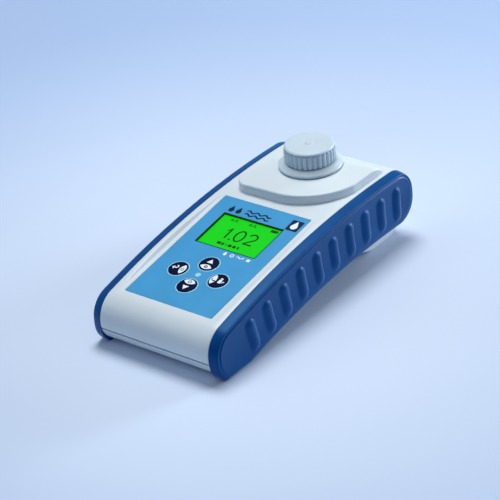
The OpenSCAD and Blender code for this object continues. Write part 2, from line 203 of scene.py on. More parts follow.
def ramp(tree, source, dark, light, lo=0.35, hi=0.65):
    """Two colours spread over a texture's middle values."""
    node = tree.nodes.new("ShaderNodeValToRGB")
    node.color_ramp.elements[0].position = lo
    node.color_ramp.elements[0].color = dark
    node.color_ramp.elements[1].position = hi
    node.color_ramp.elements[1].color = light
    tree.links.new(source, node.inputs["Fac"])
    return node.outputs["Color"]


def spread(tree, source, lo, hi):
    """Maps a texture's middle values to the range lo to hi."""
    node = tree.nodes.new("ShaderNodeMapRange")
    node.inputs["From Min"].default_value = 0.3
    node.inputs["From Max"].default_value = 0.7
    node.inputs["To Min"].default_value = lo
    node.inputs["To Max"].default_value = hi
    tree.links.new(source, node.inputs["Value"])
    return node.outputs["Result"]


def surface(name, colour, roughness, shade=0.06, patch=14.0, grain=0.35, relief=0.006,
            stretch=None, **sockets):
    """A material whose colour drifts in patches, with a fine grain in its roughness and its relief.
    Shade is the share by which the colour drifts. Patch, grain and relief are in millimetres.
    Sockets sets the shader's own uniform values."""
    material = bpy.data.materials.new(name)
    material.use_nodes = True
    tree = material.node_tree
    shader = tree.nodes["Principled BSDF"]
    base = linear(*colour)
    dark = [c*(1 - shade) for c in base[:3]] + [1.0]
    light = [min(1.0, c*(1 + shade)) for c in base[:3]] + [1.0]
    drift = ramp(tree, noise(tree, patch, 2.0), dark, light)
    tree.links.new(drift, shader.inputs["Base Color"])
    fine = noise(tree, grain, 3.0, stretch)
    rough = spread(tree, fine, roughness*(1 - ROUGH_DRIFT), roughness*(1 + ROUGH_DRIFT))
    tree.links.new(rough, shader.inputs["Roughness"])
    bump = tree.nodes.new("ShaderNodeBump")
    bump.inputs["Strength"].default_value = 1.0
    bump.inputs["Distance"].default_value = relief*MM
    tree.links.new(fine, bump.inputs["Height"])
    tree.links.new(bump.outputs["Normal"], shader.inputs["Normal"])
    for socket, value in sockets.items():
        shader.inputs[socket.replace("_", " ")].default_value = value
    return material


def display_surface():
    """Green liquid-crystal layer with its fine dot grid, lit from behind."""
    dot = 0.3
    material = surface("green_display", (0, 150, 4), 0.5, shade=0.05, patch=9.0, relief=0.001,
                       Specular_IOR_Level=0.15, Emission_Strength=0.6)
    tree = material.node_tree
    grid = tree.nodes.new("ShaderNodeTexChecker")
    grid.inputs["Scale"].default_value = 1/(dot*MM)
    grid.inputs["Color1"].default_value = linear(0, 236, 6)
    grid.inputs["Color2"].default_value = linear(0, 228, 4)
    place = tree.nodes.new("ShaderNodeTexCoord")
    tree.links.new(place.outputs["Object"], grid.inputs["Vector"])
    tree.links.new(grid.outputs["Color"], tree.nodes["Principled BSDF"].inputs["Emission Color"])
    return material


SURFACES = {
    "white_case": surface("white_case", (212, 224, 230), 0.38, shade=0.025, patch=30.0,
                          grain=0.28, relief=0.007, Specular_IOR_Level=0.45),
    "blue_grip": surface("blue_grip", (0, 66, 128), 0.40, shade=0.10, patch=16.0,
                         grain=0.30, relief=0.005, Specular_IOR_Level=0.3,
                         Specular_Tint=(0.12, 0.5, 1.0, 1.0), Sheen_Weight=0.8,
                         Sheen_Roughness=0.3, Sheen_Tint=(0.25, 0.62, 1.0, 1.0)),
    "seal_rubber": surface("seal_rubber", (38, 41, 46), 0.62, shade=0.15, patch=4.0,
                           grain=0.25, relief=0.02),
    "overlay_film": surface("overlay_film", (56, 152, 206), 0.45, shade=0.04, patch=12.0,
                            grain=0.16, relief=0.004, Specular_IOR_Level=0.25),
    "clear_window": surface("clear_window", (20, 90, 34), 0.12, shade=0.02, patch=10.0,
                            grain=0.5, relief=0.0005, Alpha=0.06, Specular_IOR_Level=0.1),
    "green_display": display_surface(),
    "light_guide": surface("light_guide", (232, 238, 234), 0.30, shade=0.03, patch=5.0,
                           grain=0.6, relief=0.01),
    "navy_key": surface("navy_key", (3, 12, 46), 0.5, shade=0.08, patch=3.0,
                        grain=0.16, relief=0.004, Specular_IOR_Level=0.08,
                        Specular_Tint=(0.2, 0.45, 1.0, 1.0)),
    "bare_metal": surface("bare_metal", (196, 196, 200), 0.28, shade=0.05, patch=2.0,
                          grain=0.4, relief=0.006, stretch=(1, 1, 8), Metallic=1.0),
    "circuit_board": surface("circuit_board", (14, 92, 54), 0.34, shade=0.18, patch=1.4,
                             grain=0.5, relief=0.02),
    "black_plastic": surface("black_plastic", (30, 31, 34), 0.45, shade=0.16, patch=6.0,
                             grain=0.3, relief=0.012),
    "led_lens": surface("led_lens", (226, 238, 240), 0.12, shade=0.02, patch=2.0, grain=0.8,
                        relief=0.002, Transmission_Weight=0.85, IOR=1.5),
    "filter_glass": surface("filter_glass", (120, 180, 130), 0.08, shade=0.03, patch=3.0,
                            grain=0.8, relief=0.001, Transmission_Weight=0.9, IOR=1.52),
    "ribbon_film": surface("ribbon_film", (196, 194, 186), 0.40, shade=0.08, patch=1.2,
                           grain=0.4, relief=0.01, stretch=(1, 6, 1)),
    "vial_glass": surface("vial_glass", (242, 250, 250), 0.03, shade=0.01, patch=20.0,
                          grain=3.0, relief=0.004, Transmission_Weight=1.0, IOR=1.47),
    "grey_cap": surface("grey_cap", (194, 211, 221), 0.34, shade=0.03, patch=9.0,
                        grain=0.24, relief=0.007, Specular_IOR_Level=0.45),
    "liner_foam": surface("liner_foam", (238, 236, 226), 0.75, shade=0.05, patch=1.0,
                          grain=0.3, relief=0.05),
    "cell_sleeve": surface("cell_sleeve", (168, 172, 180), 0.30, shade=0.10, patch=6.0,
                           grain=0.5, relief=0.004, Metallic=0.8),
    "screw_steel": surface("screw_steel", (150, 152, 158), 0.30, shade=0.10, patch=1.5,
                           grain=0.3, relief=0.012, Metallic=1.0),
    "print_navy": surface("print_navy", (4, 34, 76), 0.5, shade=0.05, patch=2.0,
                          grain=0.15, relief=0.003, Specular_IOR_Level=0.1),
    "print_white": surface("print_white", (232, 242, 250), 0.45, shade=0.02, patch=2.0,
                           grain=0.15, relief=0.003),
    "print_pale": surface("print_pale", (150, 212, 240), 0.40, shade=0.04, patch=2.0,
                          grain=0.15, relief=0.003),
    "lcd_ink": surface("lcd_ink", (2, 66, 6), 0.60, shade=0.08, patch=1.0,
                       grain=0.2, relief=0.001, Specular_IOR_Level=0.1),
}


# ------------------------------------------------------------- mesh helpers


def shade_by_angle(mesh, limit=radians(32)):
    """Smooth shading, with edges sharper than the limit left crisp."""
    work = bmesh.new()
    work.from_mesh(mesh)
    for face in work.faces:
        face.smooth = True
    for edge in work.edges:
        edge.smooth = len(edge.link_faces) == 2 and edge.calc_face_angle(0.0) < limit
    work.to_mesh(mesh)
    work.free()


def clean(mesh):
    """Welds doubled points, drops what has no area, and turns every face outwards."""
    work = bmesh.new()
    work.from_mesh(mesh)
    bmesh.ops.remove_doubles(work, verts=work.verts, dist=0.002 * MM)
    bmesh.ops.dissolve_degenerate(work, edges=work.edges, dist=0.001 * MM)
    bmesh.ops.recalc_face_normals(work, faces=work.faces)
    work.to_mesh(mesh)
    work.free()


def make(name, points, faces, place=None):
    """An object from points in millimetres and faces, standing where place puts it."""
    mesh = bpy.data.meshes.new(name)
    place = place or Matrix.Identity(4)
    mesh.from_pydata([(place @ Vector(p)) * MM for p in points], [], faces)
    clean(mesh)
    made = bpy.data.objects.new(name, mesh)
    bpy.context.scene.collection.objects.link(made)
    return made


def dress(piece, look, body, slot, *nodes):
    """Gives a finished piece its material and its body, and hides the CAD nodes it stands for; its slot
    is not used.
    """
    shade_by_angle(piece.data)
    piece.data.materials.clear()
    piece.data.materials.append(SURFACES[look])
    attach(piece, body)
    if nodes:
        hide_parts(*nodes)


def quads(rows, cols, wrap_rows=False, wrap_cols=False):
    """Faces of a grid of points held row by row."""
    faces = []
    for r in range(rows if wrap_rows else rows - 1):
        for c in range(cols if wrap_cols else cols - 1):
            a, b = r*cols, (r + 1) % rows*cols
            p, q = c, (c + 1) % cols
            faces.append([a + p, a + q, b + q, b + p])
    return faces


def prism(outline, low, high):
    """Points and faces of an outline raised from low to high."""
    n = len(outline)
    points = [(x, y, low) for x, y in outline] + [(x, y, high) for x, y in outline]
    faces = [list(range(n)), list(range(2*n - 1, n - 1, -1))]
    faces += [[i, (i + 1) % n, n + (i + 1) % n, n + i] for i in range(n)]
    return points, faces


def joined(solids):
    """Several (points, faces) pairs as one."""
    points, faces = [], []
    for more, sides in solids:
        faces += [[len(points) + i for i in side] for side in sides]
        points += more
    return points, faces


def revolved(profile, steps):
    """The points of a profile of (radius, z), turned about Z step by step."""
    bearings = [2*pi*i/steps for i in range(steps)]
    return [(r*cos(bearing), r*sin(bearing), z) for bearing in bearings for r, z in profile]


def turned(profile, steps):
    """A solid turned about Z from a profile that starts and ends on the axis."""
    return revolved(profile, steps), quads(steps, len(profile), wrap_rows=True)


def ring(profile, steps):
    """A ring turned about Z from a profile that is a closed loop."""
    return revolved(profile, steps), quads(steps, len(profile), wrap_rows=True, wrap_cols=True)


def circle(x, y, radius, steps, start=0.0, sweep=2*pi):
    """Points round a circle, or along an arc of it when sweep is less than a turn."""
    whole = sweep >= 2*pi - 1e-6
    count = steps if whole else steps + 1
    bearings = [start + sweep*i/steps for i in range(count)]
    return [(x + radius*cos(bearing), y + radius*sin(bearing)) for bearing in bearings]


def rounded(x0, y0, x1, y1, radius):
    """A rectangle with round corners."""
    corners = [(x1 - radius, y0 + radius, -pi/2), (x1 - radius, y1 - radius, 0.0),
               (x0 + radius, y1 - radius, pi/2), (x0 + radius, y0 + radius, pi)]
    return [p for x, y, start in corners for p in circle(x, y, radius, 6, start, pi/2)]


def stroke(path, width):
    """The outline of a line of that width along a path of two or more points."""
    left, right = [], []
    for i, (x, y) in enumerate(path):
        x0, y0 = path[max(i - 1, 0)]
        x1, y1 = path[min(i + 1, len(path) - 1)]
        length = sqrt((x1 - x0)**2 + (y1 - y0)**2)
        nx, ny = -(y1 - y0)/length*width/2, (x1 - x0)/length*width/2
        left.append((x + nx, y + ny))
        right.append((x - nx, y - ny))
    return left + right[::-1]


def cut(piece, solids):
    """Takes solids away from a piece."""
    tools = [make("cutter", *solid) for solid in solids]
    for tool in tools:
        step = piece.modifiers.new("cut", "BOOLEAN")
        step.operation = "DIFFERENCE"
        step.solver = "EXACT"
        step.object = tool
    shape = piece.evaluated_get(bpy.context.evaluated_depsgraph_get())
    mesh = bpy.data.meshes.new_from_object(shape)
    piece.modifiers.clear()
    piece.data = mesh
    for tool in tools:
        bpy.data.objects.remove(tool)
    clean(mesh)


def absorb(piece, other):
    """Adds another object's mesh to a piece, and removes the other object."""
    work = bmesh.new()
    work.from_mesh(piece.data)
    work.from_mesh(other.data)
    work.to_mesh(piece.data)
    work.free()
    bpy.data.objects.remove(other)


# -------------------------------------------------------------- bent outline


def turns_along(step):
    """Turns from the nose to the back, about step millimetres apart on the centre line."""
    count = round(BEND_R*(FRONT_TURN - BACK_TURN)/step)
    return [mix(FRONT_TURN, BACK_TURN, i/count) for i in range(count + 1)]


def stations(step, end_steps):
    """Places round the case's side outline, as (turn, facing) angles.
    Turn is the place along the centre line; facing is the outward direction, from +Z towards the nose.
    They run along the top, round the back, along the underside and round the nose."""
    turns = turns_along(step)
    top = [(turn, turn) for turn in turns]
    back = [(BACK_TURN, BACK_TURN - pi*i/end_steps) for i in range(1, end_steps)]
    under = [(turn, turn - pi) for turn in reversed(turns)]
    front = [(FRONT_TURN, FRONT_TURN - pi - pi*i/end_steps) for i in range(1, end_steps)]
    return top + back + under + front


def half_stations(step, end_steps, gap):
    """Places over the top, from gap above the parting line at the nose to the same at the back."""
    swing = pi/2 - gap/HALF_T
    nose = [(FRONT_TURN, FRONT_TURN + swing*(1 - i/end_steps)) for i in range(end_steps)]
    top = [(turn, turn) for turn in turns_along(step)]
    back = [(BACK_TURN, BACK_TURN - swing*i/end_steps) for i in range(1, end_steps + 1)]
    return nose + top + back


def at(place, x, reach):
    """The point at that x, reach millimetres out from the centre line."""
    turn, facing = place
    return (x, BEND_Y - BEND_R*sin(turn) - reach*sin(facing),
            BEND_Z + BEND_R*cos(turn) + reach*cos(facing))


def along(place, reach):
    """(run, rise) of a point: its distance along the centre line and its height over it."""
    turn, facing = place
    return -turn*BEND_R + reach*sin(turn - facing), reach*cos(turn - facing)


# --------------------------------------------------------------------- grips


def rib_height(run, rise):
    """How far the nearest finger rib stands out at a place on the side face.
    A rib is a domed pill that leans towards the back and fades a little at its lower end."""
    i = min(RIB_N - 1, max(0, round((run - RIB_FIRST)/RIB_PITCH)))
    across = run - (RIB_FIRST + i*RIB_PITCH)
    past = rise - min(RIB_HI - RIB_HALF, max(RIB_LO + RIB_HALF, rise))
    away = sqrt(across**2 + past**2)/RIB_HALF
    if away >= 1:
        return 0.0
    lean = (1 + RIB_LEAN*across/RIB_HALF)/RIB_LEAN_PEAK
    fade = mix(RIB_FADE, 1.0, smooth(RIB_LO, RIB_LO + RIB_FADE_RUN, rise))
    return RIB_H*(1 - away**2)*lean*fade


def grip_rim(share):
    """Points (x, depth) from the seam with the shells out to the side face.
    Share is 1 on top, where there is a crease, and 0 underneath, where the rim is a rounded corner."""
    return [(mix(corner[0], crease[0], share), mix(corner[1], crease[1], share))
            for corner, crease in zip(RIM_CORNER, RIM_CREASE)]


def grip_at(place, x, reach):
    """A point of a grip: its lower side hangs below the shells' outline, and the nose end rests flat."""
    x, y, z = at(place, x, reach)
    downward = -cos(place[1])
    hang = GRIP_DROP*smooth(-0.25, 0.3, downward)*(reach/HALF_T)**2
    lowest = HALF_T - reach + GRIP_CLEAR
    return x, y, max(z - hang, min(z, lowest))


def grip_row(place):
    """A right grip's section at a place: its hidden root, its rim, and the side face to the middle."""
    turn, facing = place
    rim = grip_rim(smooth(-0.75, 0.45, cos(turn - facing)))
    edge_x, edge_depth = rim[-1]
    edge_reach = HALF_T + edge_depth
    row = [at(place, GRIP_ROOT_X, 0.0), at(place, GRIP_ROOT_X, HALF_T - SHELL_WALL)]
    row += [grip_at(place, x, HALF_T + depth) for x, depth in rim]
    for i in range(1, GRIP_RINGS + 1):
        reach = edge_reach*(1 - i/GRIP_RINGS)
        face_x = mix(edge_x, SIDE_HW, 1 - (reach/edge_reach)**SIDE_BULGE)
        row.append(grip_at(place, face_x + rib_height(*along(place, reach)), reach))
    return row


def build_grip(side, name):
    """A rubber side grip: a rim all round, a bulging side face, and finger ribs moulded into it."""
    rows = [grip_row(place) for place in stations(GRIP_STEP, GRIP_END_STEPS)]
    points = [(side*x, y, z) for row in rows for x, y, z in row]
    skin = make(name + "_skin", points, quads(len(rows), len(rows[0]), wrap_rows=True))
    dress(skin, "blue_grip", "case", "blue_grip", name)


# --------------------------------------------------------------- upper shell


def panel_reach(place):
    """Distance from the centre line out to the flat panel, along the case's own direction there."""
    facing = place[1]
    normal = Vector((-sin(PANEL_TILT), cos(PANEL_TILT)))
    gap = (FILM_FRONT.yz - Vector(at(place, 0.0, 0.0)).yz).dot(normal)
    return gap/Vector((-sin(facing), cos(facing))).dot(normal)


def shell_section(place):
    """Half of a closed section (x, reach) of the upper shell, from mid outside to mid inside.
    Along the top, the panel's flat pocket sinks below the brows beside it where its plane is lower."""
    turn, facing = place
    on_top = abs(facing - turn) < 1e-6
    flat = min(HALF_T, panel_reach(place)) if on_top else HALF_T
    depth = HALF_T - flat
    soft = min(BROW_R, depth/1.6)
    brow = POCKET_HW + depth
    floor = [(0.0, flat), (POCKET_HW - 9, flat), (POCKET_HW - soft, flat)]
    slope = [(POCKET_HW + 0.15*soft, flat + 0.2*soft), (POCKET_HW + 0.7*soft, flat + 0.7*soft),
             (brow - 0.7*soft, HALF_T - 0.7*soft), (brow - 0.1*soft, HALF_T - 0.25*soft),
             (brow + 0.5*soft, HALF_T - 0.04*soft), (brow + soft, HALF_T)]
    edge = [(SHELL_HW - 0.3, HALF_T), (SHELL_HW - 0.08, HALF_T - 0.08), (SHELL_HW, HALF_T - 0.3)]
    lip_x = SHELL_HW - LIP_T
    inside = [(SHELL_HW, LIP_REACH), (lip_x, LIP_REACH), (lip_x, HALF_T - ROOF_T), (0.0, HALF_T - ROOF_T)]
    return floor + slope + edge + inside


def deck_edge(bearing, inset):
    """Distance from the vial's axis out to the deck's plan outline, drawn in by inset.
    The outline is a box with an arc about the vial's axis in front on the right, and a round corner
    in front on the left."""
    dx, dy = cos(bearing), sin(bearing)
    limits = []
    if dx > 0:
        limits.append((DECK_RIGHT - inset)/dx)
    if dx < 0:
        limits.append((DECK_LEFT + inset)/dx)
    if dy > 0:
        limits.append((DECK_BACK - inset - VIAL_Y)/dy)
    if dy < 0 and dx >= 0:
        limits.append(VIAL_Y - DECK_FRONT - inset)
    if dy < 0 and dx < 0:
        limits.append((DECK_FRONT + inset - VIAL_Y)/dy)
    reach = min(limits)
    cx, cy = DECK_LEFT + DECK_CORNER, DECK_FRONT + DECK_CORNER - VIAL_Y
    if dx < 0 and dy < 0 and reach*dx < cx and reach*dy < cy:
        along_ray = cx*dx + cy*dy
        off_ray = cx*dy - cy*dx
        reach = along_ray + sqrt(max(0.0, (DECK_CORNER - inset)**2 - off_ray**2))
    return reach


def deck_top(x, y):
    """Height of the deck's crowned top, which rolls down and dips a little at the back."""
    height = DECK_Z - DECK_CROWN_R + sqrt(DECK_CROWN_R**2 - x**2 - y**2)
    past = y - (DECK_ROLL_Y - VIAL_Y)
    if past > 0:
        rolled = DECK_Z - DECK_ROLL_R + sqrt(max(0.0, DECK_ROLL_R**2 - past**2))
        height = min(height, rolled - DECK_DIP*smooth(0, DECK_DIP_RUN, past))
    return height


def deck_profile(bearing):
    """Points (reach, lift) along a bearing, from the chamber out and over the rim.
    Lift is the height over the deck's crowned top, so it is negative where an edge is rounded off."""
    spans, rim_steps = 16, 6
    mouth = CHAMBER_R + 0.5
    outer = deck_edge(bearing, DECK_RIM)
    profile = [(CHAMBER_R, -0.5), (CHAMBER_R + 0.15, -0.14), (mouth, 0.0)]
    profile += [(mix(mouth, outer, j/spans), 0.0) for j in range(1, spans + 1)]
    for j in range(1, rim_steps + 1):
        swing = pi/2*j/rim_steps
        profile.append((deck_edge(bearing, DECK_RIM*(1 - sin(swing))), -DECK_RIM*(1 - cos(swing))))
    return profile


def deck_solid():
    """The raised deck round the vial, with a rounded rim."""
    steps = 400
    rows = []
    for i in range(steps):
        bearing = 2*pi*i/steps
        profile = deck_profile(bearing)
        row = [(CHAMBER_R*cos(bearing), CHAMBER_R*sin(bearing), DECK_FOOT)]
        for reach, lift in profile:
            x, y = reach*cos(bearing), reach*sin(bearing)
            row.append((x, y, max(deck_top(x, y) + lift, DECK_FOOT + 0.1)))
        edge = profile[-1][0]
        row.append((edge*cos(bearing), edge*sin(bearing), DECK_FOOT))
        rows.append(row)
    points = [(x, y + VIAL_Y, z) for row in rows for x, y, z in row]
    return points, quads(steps, len(rows[0]), wrap_rows=True, wrap_cols=True)


def panel_solid(outline, low, high):
    """A prism standing on the panel."""
    points, faces = prism(outline, low, high)
    return [tuple(ON_PANEL @ Vector(p)) for p in points], faces


def key_place(name):
    """Where a key stands, from the middle of the film's front edge."""
    x, y = KEYS[name]
    return x, KEY_Y + y


def openings():
    """Outlines of the display's and the keys' openings."""
    return [lcd_outline(), *[circle(*key_place(name), KEY_R + KEY_GAP, 64) for name in KEYS]]


def lcd_outline(grow=0.0):
    """The display's outline, made larger all round by grow."""
    return rounded(-LCD_W/2 - grow, LCD_Y - grow, LCD_W/2 + grow, LCD_Y + LCD_H + grow, 0.3)


def label_outline(grow=0.0):
    """The film's outline, made larger all round by grow."""
    return rounded(-LABEL_W/2 - grow, -grow, LABEL_W/2 + grow, LABEL_L + grow, 0.7)


def shell_solid():
    """The bent shell with its flat panel, closed at both ends and not yet opened."""
    rows = []
    for place in half_stations(step=1.0, end_steps=24, gap=SEAL_HALF):
        half = shell_section(place)
        section = half + [(-x, reach) for x, reach in reversed(half[1:-1])]
        rows.append([at(place, x, reach) for x, reach in section])
    cols = len(rows[0])
    points = [p for row in rows for p in row]
    faces = quads(len(rows), cols, wrap_cols=True)
    faces += [list(range(cols)), [len(points) - 1 - i for i in range(cols)]]
    return points, faces


def build_upper_shell():
    """The white top: the bent shell with its flat panel and openings, and the deck standing on it."""
    above = 4
    shell = make("upper_shell_skin", *shell_solid())
    film_bed = panel_solid(label_outline(0.2), -FILM_T, above)
    through = joined([panel_solid(outline, low=-9, high=above) for outline in openings()])
    chamber = prism(circle(0, VIAL_Y, CHAMBER_R, 64), low=26, high=41)
    cut(shell, [film_bed, through, chamber])
    absorb(shell, make("deck", *deck_solid()))
    dress(shell, "white_case", "case", "white_case", "upper_shell")


# ------------------------------------------------------------ panel graphics


def marks(name, body, look, shapes, low, high, tilt=0.0, centre=(0.0, 0.0)):
    """Thin printed shapes on the panel, turned by tilt about their centre."""
    place = on_panel(centre) @ Matrix.Rotation(tilt, 4, "Z")
    points, faces = joined([prism(shape, low, high) for shape in shapes])
    dress(make(name, points, faces, place), look, body, PRINT_SLOTS.get(look, "overlay_film"))


def annulus(x, y, radius, width):
    """A flat ring as two half rings."""
    return [stroke(circle(x, y, radius, 24, start, pi), width) for start in (0.0, pi)]


def build_overlay():
    """The blue film, with openings for the display and the keys."""
    film = make("keypad_overlay_film", *panel_solid(label_outline(), -FILM_T + 0.01, 0.0))
    cut(film, [joined([panel_solid(outline, low=-2, high=2) for outline in openings()])])
    dress(film, "overlay_film", "case", "overlay_film", "keypad_overlay")


def build_key_halos():
    """A raised pale ring round each key's opening."""
    profile = [(0.34, -0.1), (0.36, 0.09), (0.5, 0.12), (0.72, 0.07), (0.84, -0.02), (0.84, -0.1)]
    for name in KEYS:
        solid = ring([(KEY_R + out, z) for out, z in profile], 96)
        halo = make(name + "_key_halo", *solid, on_panel(key_place(name)))
        dress(halo, "print_pale", "case", "overlay_film")


def build_display_border():
    """A dark border from the display's face up to the film."""
    inner, outer = lcd_outline(-0.35), lcd_outline(0.12)
    n = len(inner)
    border = [[inner[i], inner[(i + 1) % n], outer[(i + 1) % n], outer[i]] for i in range(n)]
    marks("display_border", "case", "lcd_ink", border, LCD_FACE, PRINT_TOP)


def drop(x, y, size):
    """A water drop with its tip towards the back."""
    return circle(x, y, size*0.5, 20, radians(155), radians(230)) + [(x, y + size*1.15)]


def wave(x, y, step, count, height, bend):
    """Points of a wavy line: count points that are step apart, swinging height to each side."""
    return [(x + step*i, y + height*sin(bend*step*i)) for i in range(count)]


def build_maker_marks():
    """Generic marks beyond the display: two drops, two waves, and a drop on a dark plate."""
    row = LCD_Y + LCD_H + 2.9
    shapes = [drop(x, row, 2.9) for x in (-15.6, -11.4)]
    shapes += [stroke(wave(-7.6, row - 0.25 + rise, 0.4, 36, 0.62, 1.35), 0.85) for rise in (0.0, 2.3)]
    marks("maker_wave_mark", "case", "print_navy", shapes, PRINT_BOTTOM, PRINT_TOP)
    x0, y0, width, length = 17.2, 66.4, 6.4, 7.6
    plate = rounded(x0, y0, x0 + width, y0 + length, 0.5)
    marks("emblem_plate", "case", "print_navy", [plate], PRINT_BOTTOM, PRINT_TOP)
    marks("emblem_drop", "case", "print_white", [drop(x0 + width/2, y0 + 3.0, 3.6)], 0.0, 0.05)


def build_value_marks():
    """Signs of the measured values in front of the display, and a status light between the keys."""
    row = LCD_Y - 2.6
    shapes = [drop(2.2, row, 1.7), *annulus(6.2, row + 0.25, 0.85, 0.5)]
    shapes.append(stroke(wave(8.8, row + 0.3, 0.3, 15, 0.45, 2.2), 0.5))
    shapes.append(rounded(14.6, row - 0.6, 16.4, row + 1.1, 0.3))
    marks("measured_value_marks", "case", "print_white", shapes, PRINT_BOTTOM, PRINT_TOP)
    marks("status_light", "case", "print_pale", [circle(0.0, KEY_Y, 1.35, 32)], PRINT_BOTTOM, 0.06)


def digits():
    """The reading: a one, a point, a zero and a two."""
    weight = 0.85
    narrow = 0.62
    base, tall = LCD_Y + 8.0, 7.6
    top = base + tall
    one = [stroke([(-6.5, base), (-6.5, top)], weight),
           stroke([(-8.2, top - 2.2), (-7.0, top - 1.3), (-6.2, top)], weight*0.8)]
    point = [rounded(-4.3, base - 0.4, -3.3, base + 0.6, 0.3)]
    zero = []
    for start in (0.0, pi):
        half = [(x*narrow, base + tall/2 + y) for x, y in circle(0, 0, tall/2, 24, start, pi)]
        zero.append(stroke(half, weight))
    bow = circle(6.7, top - 2.3, 2.2, 14, radians(165), -radians(205))
    two = [stroke(bow + [(4.6, base + 0.2)], weight), stroke([(4.2, base), (9.2, base)], weight)]
    return one + point + zero + two


def state_marks():
    """Small ticks and a battery sign along the display's far edge."""
    row = LCD_Y + LCD_H - 3.0
    shapes = []
    for x in (-11.8, -9.4, -1.2, 1.2):
        shapes.append(stroke([(x, row), (x + 0.9, row + 1.5)], 0.55))
        shapes.append(stroke([(x + 0.9, row + 0.2), (x + 1.9, row + 0.2)], 0.5))
    shapes.append(rounded(11.2, row, 15.0, row + 1.7, 0.2))
    shapes.append(rounded(15.05, row + 0.5, 15.5, row + 1.2, 0.1))
    return shapes


def unit_blocks():
    """Blank blocks where the unit would be."""
    row = LCD_Y + 3.4
    blocks = ((-7.6, 2.2), (-4.9, 1.2), (-2.6, 0.4), (-1.2, 1.9), (1.4, 1.7), (4.0, 0.9))
    return [rounded(x, row, x + width, row + 1.7, 0.18) for x, width in blocks]


def build_reading():
    """Dark segments on the display: a reading, small state marks, a battery sign and a unit line."""
    shapes = digits() + state_marks() + unit_blocks()
    marks("display_reading", "case", "lcd_ink", shapes, LCD_FACE, LCD_FACE + 0.025)


def key_signs():
    """White signs beside each key's lens: two arrow heads, a hooked arrow, and a small bottle."""
    return {
        "up": [[(-1.7, 0.4), (1.7, 0.4), (0.0, 3.1)]],
        "down": [[(1.7, -0.4), (-1.7, -0.4), (0.0, -3.1)]],
        "enter": [[(-3.5, -0.1), (-2.1, 1.0), (-2.1, -1.2)],
                  stroke([(-2.4, -0.1), (-0.9, 0.0), (-0.5, 0.5), (-0.6, 1.3), (-1.3, 1.6)], 0.62)],
        "mode": [rounded(0.4, -1.5, 2.2, 1.0, 0.5), rounded(0.6, 1.3, 2.0, 2.1, 0.15),
                 stroke([(2.5, -0.9), (3.4, 0.0), (2.9, 0.3)], 0.45)],
    }


def lens_signs():
    """Navy signs on each key's lens, drawn at its +X side: a target, a clock, an open ring with a bar,
    and a turning arrow."""
    x = 2.45
    return {
        "up": annulus(x, 0.0, 0.72, 0.4) + [circle(x, 0.0, 0.25, 12)],
        "down": annulus(x, 0.0, 0.82, 0.34) + [stroke([(x, 0.0), (x + 0.5, 0.3)], 0.3)],
        "enter": [stroke(circle(x, 0.0, 0.8, 20, radians(40), radians(280)), 0.34),
                  stroke([(x + 0.2, 0.0), (x + 1.0, 0.0)], 0.34)],
        "mode": [stroke(circle(x, 0.0, 0.8, 16, radians(-60), radians(200)), 0.4),
                 [(x - 0.9, 0.0), (x - 0.2, 1.3), (x - 1.4, 1.2)]],
    }


def lens_outline():
    """A lens shape at the +X side of a key, between its rim and the rim's mirror image."""
    rim = KEY_R - 0.55
    half = radians(52)
    near = circle(0, 0, rim, 20, -half, 2*half)
    far = [(2*rim*cos(half) - x, y) for x, y in near]
    return near + far[::-1][1:-1]


def build_key(name):
    """A key's domed top and stem, its lens-shaped white field, and its signs."""
    body = name + "_button"
    centre = key_place(name)
    dome = [(0.0, -3.2), (KEY_R, -3.2), (KEY_R, 0.08), (KEY_R - 0.06, 0.2), (KEY_R - 0.2, 0.29),
            (KEY_R - 0.5, 0.335), (KEY_R*0.5, 0.35), (0.0, 0.355)]
    key = make(name + "_key_top", *turned(dome, 96), on_panel(centre))
    dress(key, "navy_key", body, "navy_key", name + "_key")
    low, high = 0.30, 0.372
    x, y = KEYS[name]
    to_middle = atan2(-y, -x)
    marks(name + "_key_lens", body, "print_white", [lens_outline()], low, high, to_middle, centre)
    marks(name + "_key_sign", body, "print_white", key_signs()[name], low, high, 0.0, centre)
    marks(name + "_key_lens_sign", body, "print_navy", lens_signs()[name], high - 0.03, high + 0.02,
          to_middle, centre)


# --------------------------------------------------------------- vial pieces


def build_collar():
    """Light-shield collar: a rounded foot on the deck and a cone up to the cap."""
    low = DECK_Z + 0.12
    bore = [(9.95, low + 0.1), (10.3, 42.6), (12.1, 41.2), (12.1, 39.8), (13.2, 39.8), (13.2, low)]
    foot = [(15.2, low), (15.36, low + 0.22), (15.5, low + 0.3), (COLLAR_R, low + 0.45),
            (COLLAR_R, low + 0.8), (15.46, low + 1.1), (15.2, low + 1.35), (14.6, low + 1.72)]
    cone = [(14.1, low + 2.0), (14.0, low + 2.16), (13.7, low + 2.3), (13.2, low + 2.5),
            (12.9, low + 2.6), (9.95, low + 2.64)]
    piece = make("light_shield_collar_ring", *ring(bore + foot + cone, 192), ON_VIAL)
    dress(piece, "grey_cap", "vial", "grey_cap", "light_shield_collar")


